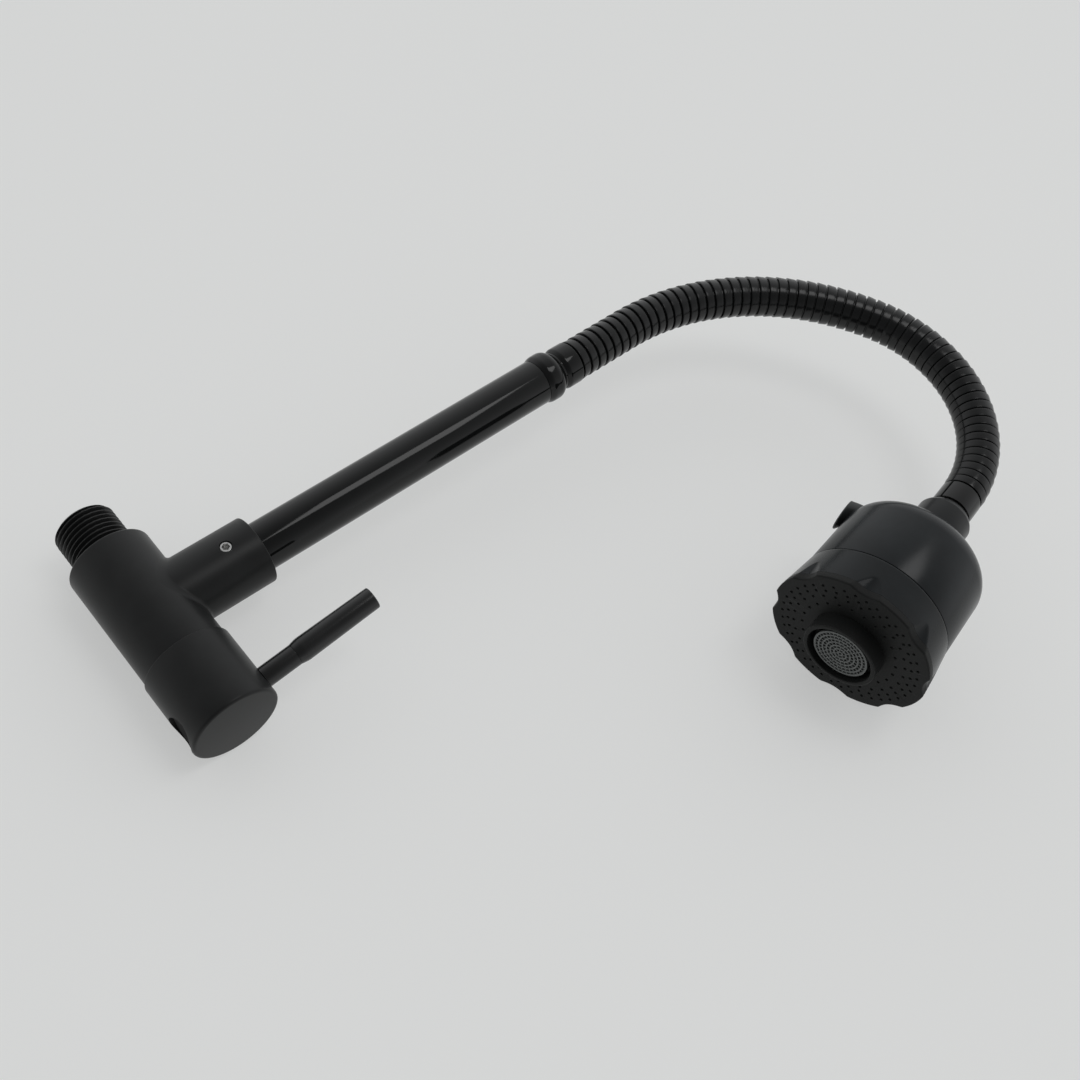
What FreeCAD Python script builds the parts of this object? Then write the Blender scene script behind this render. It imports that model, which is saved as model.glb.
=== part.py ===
import FreeCAD, Part
import math
import os

from FreeCAD import Placement, Rotation, Vector

# Cold water kitchen tap for a wall inlet, in millimetres.
# The origin is the centre of the shoulder of the inlet thread, where the body meets the wall fitting.
# The thread points along +Y to the wall, the handle faces the user along -Y, the spout tube rises along +Z.
# The gooseneck hangs its spray head over the sink in the plane X = 0.

# Flat sides round each turned piece, fewer on what is hidden
large_sides = 40
small_sides = 32
inner_sides = 20
screw_sides = 12

# Clearances
fit_gap = 0.05
run_gap = 0.3
slip_gap = 0.1
plug_gap = 0.1

# Inlet nipple, half inch pipe thread
thread_radius = 10.48
thread_length = 16.8
inlet_bore_radius = 6.5
inlet_spigot_radius = 8.9
inlet_spigot_length = 6.5

# Tap body with its branch socket
body_radius = 14.4
body_length = 45.6
seat_depth = 14.0
chamber_radius = 10.5
branch_offset = 24.2
branch_radius = 12.0
branch_height = 39.8
branch_port_radius = 5.0
socket_floor = 16.5

# Ceramic cartridge
cartridge_radius = 9.0
cartridge_bore = 7.3
cartridge_cage_length = 20.0
bonnet_hex_flats = 17.0
bonnet_hex_height = 4.0
window_width = 7.0
window_length = 9.0
disc_thickness = 2.4
disc_port_radius = 2.2
spindle_radius = 4.0
spindle_flange_thickness = 3.0
spindle_reach = 23.0
spline_grooves = 8
spline_groove_radius = 0.5

# Handle cap and lever
cap_gap = 0.4
cap_radius = 15.2
cap_length = 27.1
cap_skirt_depth = 8.0
cap_skirt_radius = 12.4
handle_rest_turn = 8.4
lever_station = 19.7
lever_seat_radius = 9.0
lever_stud_radius = 3.0
stem_radius = 3.6
stem_end = 27.0
grip_radius = 4.1
grip_tip_radius = 3.8
grip_cone_length = 2.5
grip_end = 57.2
grip_tip_chamfer = 0.5
grip_bore_depth = 8.0
screw_hole_radius = 4.3
screw_hole_depth = 5.0
handle_screw_radius = 2.5
handle_screw_length = 5.0
hex_key_flats = 2.5
hex_key_depth = 1.6

# Spout tube, its foot in the socket and the screw that holds it
tube_radius = 8.5
tube_wall = 1.1
tube_top = 161.5
foot_shoulder = 34.0
foot_plug_length = 10.0
foot_bore_radius = 5.0
seal_depth = 1.3
seal_height = 2.0
seal_start = 19.0
spout_screw_height = 29.3
spout_screw_radius = 2.0
spout_screw_reach = 7.3
spout_groove_depth = 1.7
spout_key_flats = 1.8
spout_screw_taper = 0.8
spout_screw_recess = 0.4

# Collar nut and upper ferrule
collar_radius = 9.3
collar_bulge_length = 6.0
collar_taper_length = 2.6
collar_groove_radius = 6.8
collar_groove_length = 1.6
collar_plug_length = 8.0
collar_edge_step = 0.3
collar_edge_length = 1.3
ferrule_radius = 8.1
ferrule_taper_length = 2.6
ferrule_top = 180.0

# Ribbed gooseneck hose
hose_radius = 7.8
hose_bore_radius = 5.6
hose_straight = 25.8
hose_wide_radius = 94.8
hose_wide_turn = 64.6
hose_tight_radius = 54.3
hose_tight_turn = 104.4
hose_end_straight = 1.4
hose_links = 10
ribs_per_link = 6
rib_groove_depth = 0.65
rib_groove_half = 0.4
ring_sides = 16
bell_wall = 0.5
bell_depth = 2.7
lip_length = 1.8
lip_slack = 0.4
link_gap = 1.0
rib_edge_slope = 0.2

# Lower ferrule, ball and dome nut
ferrule_to_ball = 14.2
neck_ferrule_radius = 7.7
ball_radius = 7.2
ball_neck_radius = 3.6
ball_foot = 5.5
ball_bore_radius = 2.2
dome_radius = 10.4
dome_mouth_radius = 6.6
dome_throat_radius = 5.2
dome_skirt_radius = 10.0
dome_skirt_end = 14.0
ball_seal_height = 2.2
ball_seal_bore = 4.9
sphere_steps = 3

# Spray head, heights counted upwards from the face
ball_to_face = 64.5
face_radius = 29.4
face_thickness = 2.6
face_edge_chamfer = 0.7
grip_ring_top = 16.4
grip_ring_top_radius = 27.4
head_seam_gap = 0.2
housing_foot_radius = 27.3
housing_rim_height = 47.9
housing_rim_radius = 22.4
housing_shoulder_drop = 3.5
housing_shoulder_radius = 25.6
housing_waist_drop = 7.9
housing_waist_radius = 26.6
housing_top_height = 55.0
housing_top_radius = 12.2
housing_wall = 2.4
grip_ring_wall = 4.4
housing_steps = 4
flute_count = 8
flute_radius = 4.2
flute_length = 9.0
flute_depth = 1.7
core_radius = 12.0
core_bore_radius = 4.0
core_taper_length = 4.0
aerator_collar_radius = 16.2
aerator_collar_height = 4.0
aerator_bore_radius = 12.4
aerator_wall = 1.6
aerator_edge_chamfer = 0.8
aerator_rings = 2
aerator_recess = 1.6
aerator_grid_thickness = 2.0
aerator_slot_width = 1.3
aerator_slot_length = 3.0
aerator_slots = 12

# Spray mode knob, a toggle in a slot of the housing
knob_pivot_radius = 16.0
knob_pivot_drop = 3.4
knob_swing = 24.0
knob_root_radius = 3.7
knob_root_width = 8.0
knob_foot_radius = 3.2
knob_neck_radius = 4.0
knob_neck_reach = 7.2
knob_neck_rise = 2.7
knob_edge_chamfer = 0.5
knob_end_radius = 5.9
knob_end_drop = 1.0
knob_reach = 12.9
knob_slot_gap = 1.5

# Points nearer to each other than this count as one
near = 1e-6

# Sizes worked out from those above
tube_bore = tube_radius - tube_wall
socket_bore = tube_radius + run_gap
total_turn = hose_wide_turn + hose_tight_turn
wide_length = math.radians(hose_wide_turn) * hose_wide_radius
tight_length = math.radians(hose_tight_turn) * hose_tight_radius
ribbed_length = hose_straight + wide_length + tight_length + hose_end_straight
link_length = ribbed_length / hose_links
rib_pitch = link_length / ribs_per_link
rib_count = hose_links * ribs_per_link
bell_radius = hose_radius - bell_wall
lip_radius = bell_radius - lip_slack
core_top = ball_to_face - dome_skirt_end - run_gap
ball_seal_top = -ball_foot - run_gap
ferrule_hollow = dome_radius + 2 * run_gap
neck_top = math.sqrt(ferrule_hollow ** 2 - ball_neck_radius ** 2)


def spun(spot, turn):
    """Point at a (radius, height) spot turned about Z, in degrees."""
    angle = math.radians(turn)
    return Vector(spot[0] * math.cos(angle), spot[0] * math.sin(angle), spot[1])


def panels(corners):
    """Flat face on a loop of three or four corners, or two faces where the loop is bent."""
    loop = [corner for i, corner in enumerate(corners) if not corner.isEqual(corners[i - 1], near)]
    if len(loop) < 3:
        return []
    normal = (loop[1] - loop[0]).cross(loop[2] - loop[0]).normalize()
    if abs((loop[-1] - loop[0]).dot(normal)) > near:
        return panels(loop[:3]) + panels([loop[0], loop[2], loop[3]])
    return [Part.Face(Part.makePolygon(loop + loop[:1]))]


def ruled(rings):
    """Solid with flat sides from each ring of corners to the next and from the last to the first."""
    faces = []
    for low, high in zip(rings, rings[1:] + rings[:1]):
        for i in range(len(low)):
            faces += panels([low[i - 1], high[i - 1], high[i], low[i]])
    solid = Part.Solid(Part.Shell(faces)).removeSplitter()
    if solid.Volume < 0:
        solid.reverse()
    return solid


def turned(outline, sides):
    """Solid from a closed outline of (radius, height) spots, taken round Z in flat sides."""
    return ruled([[spun(spot, 360 * i / sides) for i in range(sides)] for spot in outline])


def arc_points(radius, first, last, steps):
    """Points (radius, height) on a circle about the origin, angles in degrees from +Z."""
    angles = [math.radians(first + (last - first) * i / steps) for i in range(steps + 1)]
    return [(radius * math.sin(angle), radius * math.cos(angle)) for angle in angles]


def rod(radius, start, end):
    """Round bar on Z from one height to another."""
    return Part.makeCylinder(radius, end - start, Vector(0, 0, start))


def bar(radius, start, end, sides):
    """Flat-sided bar on Z from one height to another."""
    return turned([(0, start), (radius, start), (radius, end), (0, end)], sides)


def sleeve(outer, inner, start, end, sides):
    """Flat-sided tube on Z."""
    return turned([(inner, start), (outer, start), (outer, end), (inner, end)], sides)


def prism(flats, start, end):
    """Hexagonal bar on Z, given across its flats."""
    reach = flats / 2 / math.cos(math.pi / 6)
    corners = [Vector(reach * math.cos(math.radians(60 * i)), reach * math.sin(math.radians(60 * i)), start)
               for i in range(7)]
    return Part.Face(Part.makePolygon(corners)).extrude(Vector(0, 0, end - start))


def placed(shape, base, rotation):
    """Copy of a shape turned about the origin and then moved to its base."""
    moved = shape.copy()
    moved.Placement = Placement(base, rotation).multiply(shape.Placement)
    return moved


def on_body_axis(shape):
    """Turn a shape built on +Z so that its heights run from the wall shoulder towards the handle."""
    return placed(shape, Vector(0, 0, 0), Rotation(Vector(1, 0, 0), 90))


def on_spout_axis(shape):
    """Move a shape built on +Z to the axis of the branch and the spout tube."""
    return placed(shape, Vector(0, -branch_offset, 0), Rotation())


def on_handle(shape):
    """Place a radial handle part, built on +Z, at the lever station and at the handle's rest turn."""
    station = Vector(0, -(body_length + cap_gap + lever_station), 0)
    return placed(shape, station, Rotation(Vector(0, -1, 0), handle_rest_turn))


def route(distance):
    """Centre point and turn about X of the hose at a distance from its upper end."""
    point = Vector(0, -branch_offset, ferrule_top)
    turn = 0.0
    left = distance
    runs = [(hose_straight, None), (wide_length, hose_wide_radius), (tight_length, hose_tight_radius)]
    for length, radius in runs:
        step = min(left, length)
        if radius is None:
            point = point + heading(turn) * step
        else:
            bend = math.degrees(step / radius)
            chord = 2 * radius * math.sin(math.radians(bend / 2))
            point = point + heading(turn + bend / 2) * chord
            turn = turn + bend
        left = left - step
    return point + heading(turn) * left, turn


def heading(turn):
    """Direction of the hose after a turn about X from straight up."""
    return Vector(0, -math.sin(math.radians(turn)), math.cos(math.radians(turn)))


ball_centre = route(ribbed_length + ferrule_to_ball)[0]


def on_hose_end(shape):
    """Place a shape built about the ball centre, with +Z back along the hose."""
    return placed(shape, ball_centre, Rotation(Vector(1, 0, 0), total_turn - 180))


def on_head(shape):
    """Place a spray head part built on +Z with heights counted from the face."""
    lowered = shape.copy()
    lowered.translate(Vector(0, 0, -ball_to_face))
    return on_hose_end(lowered)


def inlet_nipple():
    """Threaded pipe end screwed into the body, its thread shoulder flush on the body's end face."""
    thread = rod(thread_radius, -thread_length, 0)
    spigot = bar(inlet_spigot_radius, -1, inlet_spigot_length, inner_sides)
    bore = bar(inlet_bore_radius, -thread_length - 1, inlet_spigot_length + 1, inner_sides)
    return on_body_axis(thread.fuse(spigot).cut(bore))


def tap_body():
    """Horizontal body with the upright branch socket, bored for water, cartridge and spout foot."""
    barrel = on_body_axis(rod(body_radius, 0, body_length))
    branch = on_spout_axis(rod(branch_radius, 0, branch_height))
    bores = on_body_axis(turned([
        (0, -1),
        (inlet_spigot_radius + fit_gap, -1),
        (inlet_spigot_radius + fit_gap, inlet_spigot_length + fit_gap),
        (inlet_bore_radius, inlet_spigot_length + fit_gap),
        (inlet_bore_radius, seat_depth),
        (chamber_radius, seat_depth),
        (chamber_radius, body_length + 1),
        (0, body_length + 1),
    ], inner_sides))
    socket = on_spout_axis(turned([
        (0, 0),
        (branch_port_radius, 0),
        (branch_port_radius, socket_floor),
        (socket_bore, socket_floor),
        (socket_bore, branch_height + 1),
        (0, branch_height + 1),
    ], small_sides))
    screw_hole = on_spout_screw(bar(spout_screw_radius + fit_gap, 0, branch_radius + 1, screw_sides))
    return barrel.fuse(branch).cut([bores, socket, screw_hole])


def on_spout_screw(shape):
    """Place a part of the socket's side screw, built outwards on +Z from the spout axis."""
    return placed(shape, Vector(0, -branch_offset, spout_screw_height), Rotation(Vector(0, 1, 0), -90))


def spout_screw():
    """Bright grub screw in the side of the socket, its tip in the groove of the spout foot."""
    outer = branch_radius - spout_screw_recess
    screw = turned([
        (0, spout_screw_reach),
        (spout_screw_radius - spout_screw_taper, spout_screw_reach),
        (spout_screw_radius, spout_screw_reach + spout_screw_taper),
        (spout_screw_radius, outer),
        (0, outer),
    ], screw_sides)
    return on_spout_screw(screw.cut(prism(spout_key_flats, outer - hex_key_depth, outer + 1)))


def valve_cartridge():
    """Brass cartridge: a cage with two water windows under a bonnet plug with a hexagon."""
    cage_end = seat_depth + cartridge_cage_length
    cage = turned([
        (cartridge_bore, seat_depth),
        (cartridge_radius, seat_depth),
        (cartridge_radius, cage_end),
        (chamber_radius - fit_gap, cage_end),
        (chamber_radius - fit_gap, body_length),
        (spindle_radius + slip_gap, body_length),
        (spindle_radius + slip_gap, cage_end),
        (cartridge_bore, cage_end),
    ], inner_sides)
    hexagon = prism(bonnet_hex_flats, body_length, body_length + bonnet_hex_height)
    bore = bar(spindle_radius + slip_gap, body_length - 1, body_length + bonnet_hex_height + 1, inner_sides)
    window = Part.makeBox(window_width, 4 * cartridge_radius, window_length,
                          Vector(-window_width / 2, -2 * cartridge_radius, cage_end - 1 - window_length))
    return on_body_axis(cage.fuse(hexagon.cut(bore)).cut(window))


def fixed_disc():
    """Ceramic disc held in the cage, with two water ports."""
    start = seat_depth + slip_gap
    disc = bar(cartridge_bore - slip_gap, start, start + disc_thickness, inner_sides)
    port = bar(disc_port_radius, start - 1, start + disc_thickness + 1, screw_sides)
    ports = [placed(port, Vector(side * cartridge_bore / 2, 0, 0), Rotation()) for side in (-1, 1)]
    return on_body_axis(disc.cut(ports))


def moving_disc():
    """Ceramic disc turned by the spindle, cut away on two sides to open the ports."""
    start = seat_depth + 2 * slip_gap + disc_thickness
    radius = cartridge_bore - 2 * slip_gap
    disc = bar(radius, start, start + disc_thickness, inner_sides)
    band = Part.makeBox(2 * radius, radius, 2 * disc_thickness, Vector(-radius, -radius / 2, start - 1))
    return on_body_axis(disc.common(band))


def spindle():
    """Spindle with its driving flange and a splined end for the handle."""
    start = seat_depth + 3 * slip_gap + 2 * disc_thickness
    end = body_length + spindle_reach
    flange_radius = cartridge_bore - 2 * slip_gap
    shaft = turned([
        (0, start),
        (flange_radius, start),
        (flange_radius, start + spindle_flange_thickness),
        (spindle_radius, start + spindle_flange_thickness),
        (spindle_radius, end),
        (0, end),
    ], inner_sides)
    spline_start = body_length + bonnet_hex_height + 1
    groove = Part.makeBox(2 * spline_groove_radius, 2 * spline_groove_radius, end,
                          Vector(-spline_groove_radius, spindle_radius - spline_groove_radius, spline_start))
    grooves = [placed_about_z(groove, 360 * i / spline_grooves) for i in range(spline_grooves)]
    return on_body_axis(shaft.cut(grooves))


def handle_cap():
    """Turning end cap of the body: skirt over the bonnet, boss on the spindle, lever and screw holes."""
    start = body_length + cap_gap
    end = start + cap_length
    bore_end = body_length + spindle_reach + run_gap
    cap = rod(cap_radius, start, end)
    hollow = turned([
        (0, start - 1),
        (cap_skirt_radius, start - 1),
        (cap_skirt_radius, start + cap_skirt_depth),
        (spindle_radius + fit_gap, start + cap_skirt_depth),
        (spindle_radius + fit_gap, bore_end),
        (0, bore_end),
    ], inner_sides)
    lever_hole = bar(lever_stud_radius + fit_gap, lever_seat_radius, cap_radius + 1, screw_sides)
    screw_way = turned([
        (0, 0),
        (handle_screw_radius + fit_gap, 0),
        (handle_screw_radius + fit_gap, cap_radius - screw_hole_depth),
        (screw_hole_radius, cap_radius - screw_hole_depth),
        (screw_hole_radius, cap_radius + 1),
        (0, cap_radius + 1),
    ], screw_sides)
    return on_body_axis(cap.cut(hollow)).cut([on_handle(lever_hole), on_handle(turned_down(screw_way))])


def turned_down(shape):
    """Shape built on +Z, turned to point along -Z."""
    return placed(shape, Vector(0, 0, 0), Rotation(Vector(0, 1, 0), 180))


def handle_screw():
    """Grub screw that locks the cap to the spindle, at the bottom of its hole."""
    start = spindle_radius + fit_gap
    end = start + handle_screw_length
    screw = bar(handle_screw_radius, start, end, screw_sides)
    return on_handle(turned_down(screw.cut(prism(hex_key_flats, end - hex_key_depth, end + 1))))


def lever_stem():
    """Round stem screwed into the cap, with a stud at each end."""
    foot = lever_seat_radius + fit_gap
    head = stem_end + grip_bore_depth - fit_gap
    stem = rod(stem_radius, cap_radius + slip_gap, stem_end)
    return on_handle(stem.fuse(bar(lever_stud_radius, foot, head, screw_sides)))


def lever_grip():
    """Slightly thicker, tapering finger grip on the stem's outer stud."""
    start = stem_end + fit_gap
    grip = turned([
        (lever_stud_radius + fit_gap, start),
        (stem_radius, start),
        (grip_radius, start + grip_cone_length),
        (grip_tip_radius, grip_end - grip_tip_chamfer),
        (grip_tip_radius - grip_tip_chamfer, grip_end),
        (0, grip_end),
        (0, stem_end + grip_bore_depth),
        (lever_stud_radius + fit_gap, stem_end + grip_bore_depth),
    ], small_sides)
    return on_handle(grip)


def spout_foot():
    """Plug that turns in the socket, with a seal groove, a screw groove and a spigot in the tube."""
    floor = socket_floor + slip_gap
    seat = tube_radius - seal_depth
    screw_half = spout_screw_radius + run_gap
    foot = turned([
        (foot_bore_radius, floor),
        (tube_radius, floor),
        (tube_radius, seal_start),
        (seat, seal_start),
        (seat, seal_start + seal_height),
        (tube_radius, seal_start + seal_height),
        (tube_radius, spout_screw_height - screw_half),
        (tube_radius - spout_groove_depth, spout_screw_height - screw_half),
        (tube_radius - spout_groove_depth, spout_screw_height + screw_half),
        (tube_radius, spout_screw_height + screw_half),
        (tube_radius, foot_shoulder),
        (tube_bore - plug_gap, foot_shoulder),
        (tube_bore - plug_gap, foot_shoulder + foot_plug_length),
        (foot_bore_radius, foot_shoulder + foot_plug_length),
    ], inner_sides)
    return on_spout_axis(foot)


def spout_seal():
    """Rubber seal ring of the spout foot."""
    ring = sleeve(tube_radius + slip_gap, tube_radius - seal_depth + fit_gap, seal_start + fit_gap,
                  seal_start + seal_height - fit_gap, inner_sides)
    return on_spout_axis(ring)


def spout_tube():
    """Straight steel tube between the socket and the collar."""
    tube = rod(tube_radius, foot_shoulder, tube_top).cut(rod(tube_bore, foot_shoulder - 1, tube_top + 1))
    return on_spout_axis(tube)


def collar_nut():
    """Bulged collar on the tube's end, with a waist under the ferrule."""
    bulge_end = tube_top + collar_bulge_length
    taper_end = bulge_end + collar_taper_length
    collar = turned([
        (hose_bore_radius, tube_top - collar_plug_length),
        (tube_bore - plug_gap, tube_top - collar_plug_length),
        (tube_bore - plug_gap, tube_top),
        (tube_radius - collar_edge_step, tube_top),
        (collar_radius, tube_top + collar_edge_length),
        (collar_radius, bulge_end - collar_edge_length),
        (collar_groove_radius, taper_end),
        (collar_groove_radius, taper_end + collar_groove_length),
        (hose_bore_radius, taper_end + collar_groove_length),
    ], small_sides)
    return on_spout_axis(collar)


def upper_ferrule():
    """Sleeve between the collar and the hose, with the bell in which the first link turns."""
    start = tube_top + collar_bulge_length + collar_taper_length + collar_groove_length
    ferrule = turned([
        (hose_bore_radius, start),
        (collar_groove_radius, start),
        (ferrule_radius, start + ferrule_taper_length),
        (ferrule_radius, ferrule_top - link_gap / 2),
        (bell_radius, ferrule_top - link_gap / 2),
        (bell_radius, ferrule_top - bell_depth),
        (hose_bore_radius, ferrule_top - bell_depth),
    ], small_sides)
    return on_spout_axis(ferrule)


def chord_turn(index):
    """Turn about X of the straight rib between one groove of the hose and the next."""
    if index < 0:
        return 0.0
    if index >= rib_count:
        return total_turn
    step = route((index + 1) * rib_pitch)[0] - route(index * rib_pitch)[0]
    return math.degrees(math.atan2(-step.y, step.z))


def groove_turn(index):
    """Turn about X of the plane that halves the bend at a groove."""
    return (chord_turn(index - 1) + chord_turn(index)) / 2


def hose_ring(index, along, slope, radius):
    """Flat-sided ring parallel to the plane of a groove, its first corner level on the X axis."""
    turn = groove_turn(index)
    stretch = 1 / math.cos(math.radians(slope - turn))
    centre = route(index * rib_pitch)[0] + heading(slope) * (along * stretch)
    level = Rotation(Vector(1, 0, 0), turn)
    corners = [spun((radius, 0), 360 * i / ring_sides) for i in range(ring_sides)]
    return [centre + level.multVec(Vector(corner.x, corner.y * stretch, 0)) for corner in corners]


def hose_link(link):
    """One link of the gooseneck: a lip that turns in the bell before it, its ribs and its own bell."""
    first = link * ribs_per_link
    last = first + ribs_per_link
    middle = (first + last) // 2
    edge = link_gap / 2
    start_turn = groove_turn(first)
    end_turn = groove_turn(last)
    rings = [hose_ring(first, -lip_length, start_turn, lip_radius),
             hose_ring(first, edge - rib_edge_slope, start_turn, lip_radius),
             hose_ring(first, edge, chord_turn(first), hose_radius)]
    for groove in range(first + 1, last):
        slope = chord_turn(groove)
        rings.append(hose_ring(groove, -rib_groove_half, chord_turn(groove - 1), hose_radius))
        rings.append(hose_ring(groove, 0, slope, hose_radius - rib_groove_depth))
        rings.append(hose_ring(groove, rib_groove_half, slope, hose_radius))
    rings.append(hose_ring(last, -edge, chord_turn(last - 1), hose_radius))
    rings.append(hose_ring(last, -edge, end_turn, bell_radius))
    rings.append(hose_ring(last, -bell_depth, end_turn, bell_radius))
    rings.append(hose_ring(last, -bell_depth, end_turn, hose_bore_radius))
    rings.append(hose_ring(middle, 0, groove_turn(middle), hose_bore_radius))
    rings.append(hose_ring(first, -lip_length, start_turn, hose_bore_radius))
    return ruled(rings)


def lower_ferrule():
    """Sleeve at the hose's end with a plug in the last bell, hollowed below to clear the dome nut."""
    top = ferrule_to_ball - link_gap / 2 + fit_gap
    plug = bell_radius * math.cos(math.pi / ring_sides) - fit_gap
    rim = math.degrees(math.asin(neck_ferrule_radius / ferrule_hollow))
    inner = math.degrees(math.asin(ball_neck_radius / ferrule_hollow))
    plug_top = top + bell_depth - link_gap
    outline = [(ball_bore_radius, plug_top), (plug, plug_top), (plug, top), (neck_ferrule_radius, top)]
    outline += arc_points(ferrule_hollow, rim, inner, sphere_steps // 2)
    outline.append((ball_bore_radius, neck_top))
    return on_hose_end(turned(outline, inner_sides))


def ball_stem():
    """Ball of the swivel on its short hollow neck, screwed up into the ferrule."""
    first = math.degrees(math.asin(ball_neck_radius / ball_radius))
    last = 180 - math.degrees(math.acos(ball_foot / ball_radius))
    outline = [(ball_bore_radius, neck_top - fit_gap), (ball_neck_radius, neck_top - fit_gap)]
    outline += arc_points(ball_radius, first, last, sphere_steps + 2)
    outline.append((ball_bore_radius, -ball_foot))
    return on_hose_end(turned(outline, inner_sides))


def dome_nut():
    """Domed swivel nut that holds the ball and enters the neck of the housing."""
    cavity = ball_radius + run_gap
    mouth = math.degrees(math.asin(dome_mouth_radius / dome_radius))
    skirt = math.degrees(math.asin(dome_skirt_radius / dome_radius))
    throat = math.degrees(math.asin(dome_throat_radius / cavity))
    outline = arc_points(dome_radius, mouth, skirt, sphere_steps)
    outline += [(dome_skirt_radius, -dome_skirt_end), (cavity, -dome_skirt_end)]
    outline += arc_points(cavity, 90, throat, sphere_steps - 1)
    return on_hose_end(turned(outline, small_sides))


def ball_seal():
    """Rubber washer under the ball, in the skirt of the dome nut."""
    foot = ball_seal_top - ball_seal_height
    return on_hose_end(sleeve(ball_radius, ball_seal_bore, foot, ball_seal_top, inner_sides))


def placed_about_z(shape, turn):
    """Copy of a shape turned about Z."""
    return placed(shape, Vector(0, 0, 0), Rotation(Vector(0, 0, 1), turn))


def side_radius(height):
    """Outer radius of the grip ring's tapered side at a height."""
    return face_radius + (grip_ring_top_radius - face_radius) * height / grip_ring_top


def flute_cutters():
    """Slanted bars that cut the thumb flutes into the rim, deepest at the face."""
    slant = math.degrees(math.atan(flute_depth / flute_length))
    cutter = placed(bar(flute_radius, -flute_length, 2 * flute_length, screw_sides),
                    Vector(face_radius + flute_radius - flute_depth, 0, 0), Rotation(Vector(0, 1, 0), slant))
    return [placed_about_z(cutter, 360 * i / flute_count) for i in range(flute_count)]


def face_plate():
    """Flat spray face with the lobed rim, open in the middle for the aerator."""
    hole = aerator_bore_radius + aerator_wall
    plate = turned([
        (hole, 0),
        (face_radius - face_edge_chamfer, 0),
        (side_radius(face_edge_chamfer), face_edge_chamfer),
        (side_radius(face_thickness), face_thickness),
        (hole, face_thickness),
    ], large_sides)
    return on_head(plate.cut(flute_cutters()))


def grip_ring():
    """Tapered grip ring above the face, carrying the upper ends of the thumb flutes."""
    start = face_thickness + fit_gap
    ring = turned([
        (face_radius - grip_ring_wall, start),
        (side_radius(start), start),
        (grip_ring_top_radius, grip_ring_top),
        (grip_ring_top_radius - housing_wall, grip_ring_top),
    ], large_sides)
    return on_head(ring.cut(flute_cutters()))


def housing_line(inset, steps):
    """Outline of the housing from foot to top as (radius, height), drawn in by an inset."""
    waist = Vector(housing_waist_radius, 0, housing_rim_height - housing_waist_drop)
    shoulder = Vector(housing_shoulder_radius, 0, housing_rim_height - housing_shoulder_drop)
    rim = Vector(housing_rim_radius, 0, housing_rim_height)
    edge = Part.Arc(waist, shoulder, rim).toShape()
    outline = [(housing_foot_radius - inset, grip_ring_top + head_seam_gap)]
    for spot in edge.discretize(steps + 1):
        towards = (edge.Curve.Center - spot).normalize() * inset
        outline.append((spot.x + towards.x, spot.z + towards.z))
    run = housing_rim_radius - housing_top_radius
    slope = math.hypot(run, housing_top_height - housing_rim_height) / run
    outline.append((housing_top_radius, housing_top_height - inset * slope))
    return outline


def on_knob(shape, swing):
    """Place a part of the toggle, built on +Z from its pivot, tipped back from the face by an angle."""
    pivot = Vector(0, knob_pivot_radius, housing_rim_height - knob_pivot_drop)
    return placed(shape, pivot, Rotation(Vector(1, 0, 0), swing - 90))


def knob_root(radius, width):
    """Round bar across the toggle's pivot."""
    across = bar(radius, -width / 2, width / 2, screw_sides)
    return placed(across, Vector(0, 0, 0), Rotation(Vector(0, 1, 0), 90))


def housing():
    """Round shouldered housing shell, open below, with the neck hole and the slot of the mode knob."""
    neck = dome_skirt_radius + run_gap
    inner = housing_line(housing_wall, 1)
    outline = housing_line(0, housing_steps)
    outline += [(neck, housing_top_height), (neck, inner[-1][1])]
    outline += inner[::-1]
    half = knob_end_radius + knob_slot_gap
    foot = knob_end_radius - run_gap
    cutter = Part.makeBox(2 * half, half + foot, knob_reach, Vector(-half, -half, 0))
    slot = [on_knob(cutter, knob_swing * i / 2) for i in range(3)]
    slot.append(on_knob(knob_root(knob_root_radius + run_gap, 2 * half), 0))
    return on_head(turned(outline, large_sides).cut(slot))


def water_core():
    """Inner water way from the dome nut down to the face, which carries face, ring and aerator."""
    flange = face_radius - grip_ring_wall - fit_gap
    low = face_thickness + fit_gap
    spigot = ball_radius - fit_gap
    spigot_top = ball_to_face + ball_seal_top - ball_seal_height - fit_gap
    core = turned([
        (core_bore_radius, low),
        (flange, low),
        (flange, grip_ring_top - core_taper_length),
        (core_radius, grip_ring_top),
        (core_radius, core_top),
        (spigot, core_top),
        (spigot, spigot_top),
        (core_bore_radius, spigot_top),
    ], large_sides)
    return on_head(core)


def aerator_sleeve():
    """Raised collar round the aerator, standing out of the face."""
    sleeve_radius = aerator_bore_radius + aerator_wall - fit_gap
    collar = turned([
        (aerator_bore_radius, -aerator_collar_height),
        (aerator_collar_radius - aerator_edge_chamfer, -aerator_collar_height),
        (aerator_collar_radius, -aerator_collar_height + aerator_edge_chamfer),
        (aerator_collar_radius, -fit_gap),
        (sleeve_radius, -fit_gap),
        (sleeve_radius, face_thickness),
        (aerator_bore_radius, face_thickness),
    ], small_sides)
    return on_head(collar)


def aerator_grid():
    """Aerator insert with rings of radial slots."""
    low = -aerator_collar_height + aerator_recess
    disc = bar(aerator_bore_radius - fit_gap, low, low + aerator_grid_thickness, small_sides)
    slots = []
    for ring in range(aerator_rings):
        place = aerator_bore_radius * (1 + ring) / (1 + aerator_rings)
        slot = Part.makeBox(aerator_slot_length, aerator_slot_width, 2 * aerator_grid_thickness,
                            Vector(place, -aerator_slot_width / 2, low - 1))
        slots += [placed_about_z(slot, 360 * (i + ring / 2) / aerator_slots) for i in range(aerator_slots)]
    return on_head(disc.cut(slots))


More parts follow.
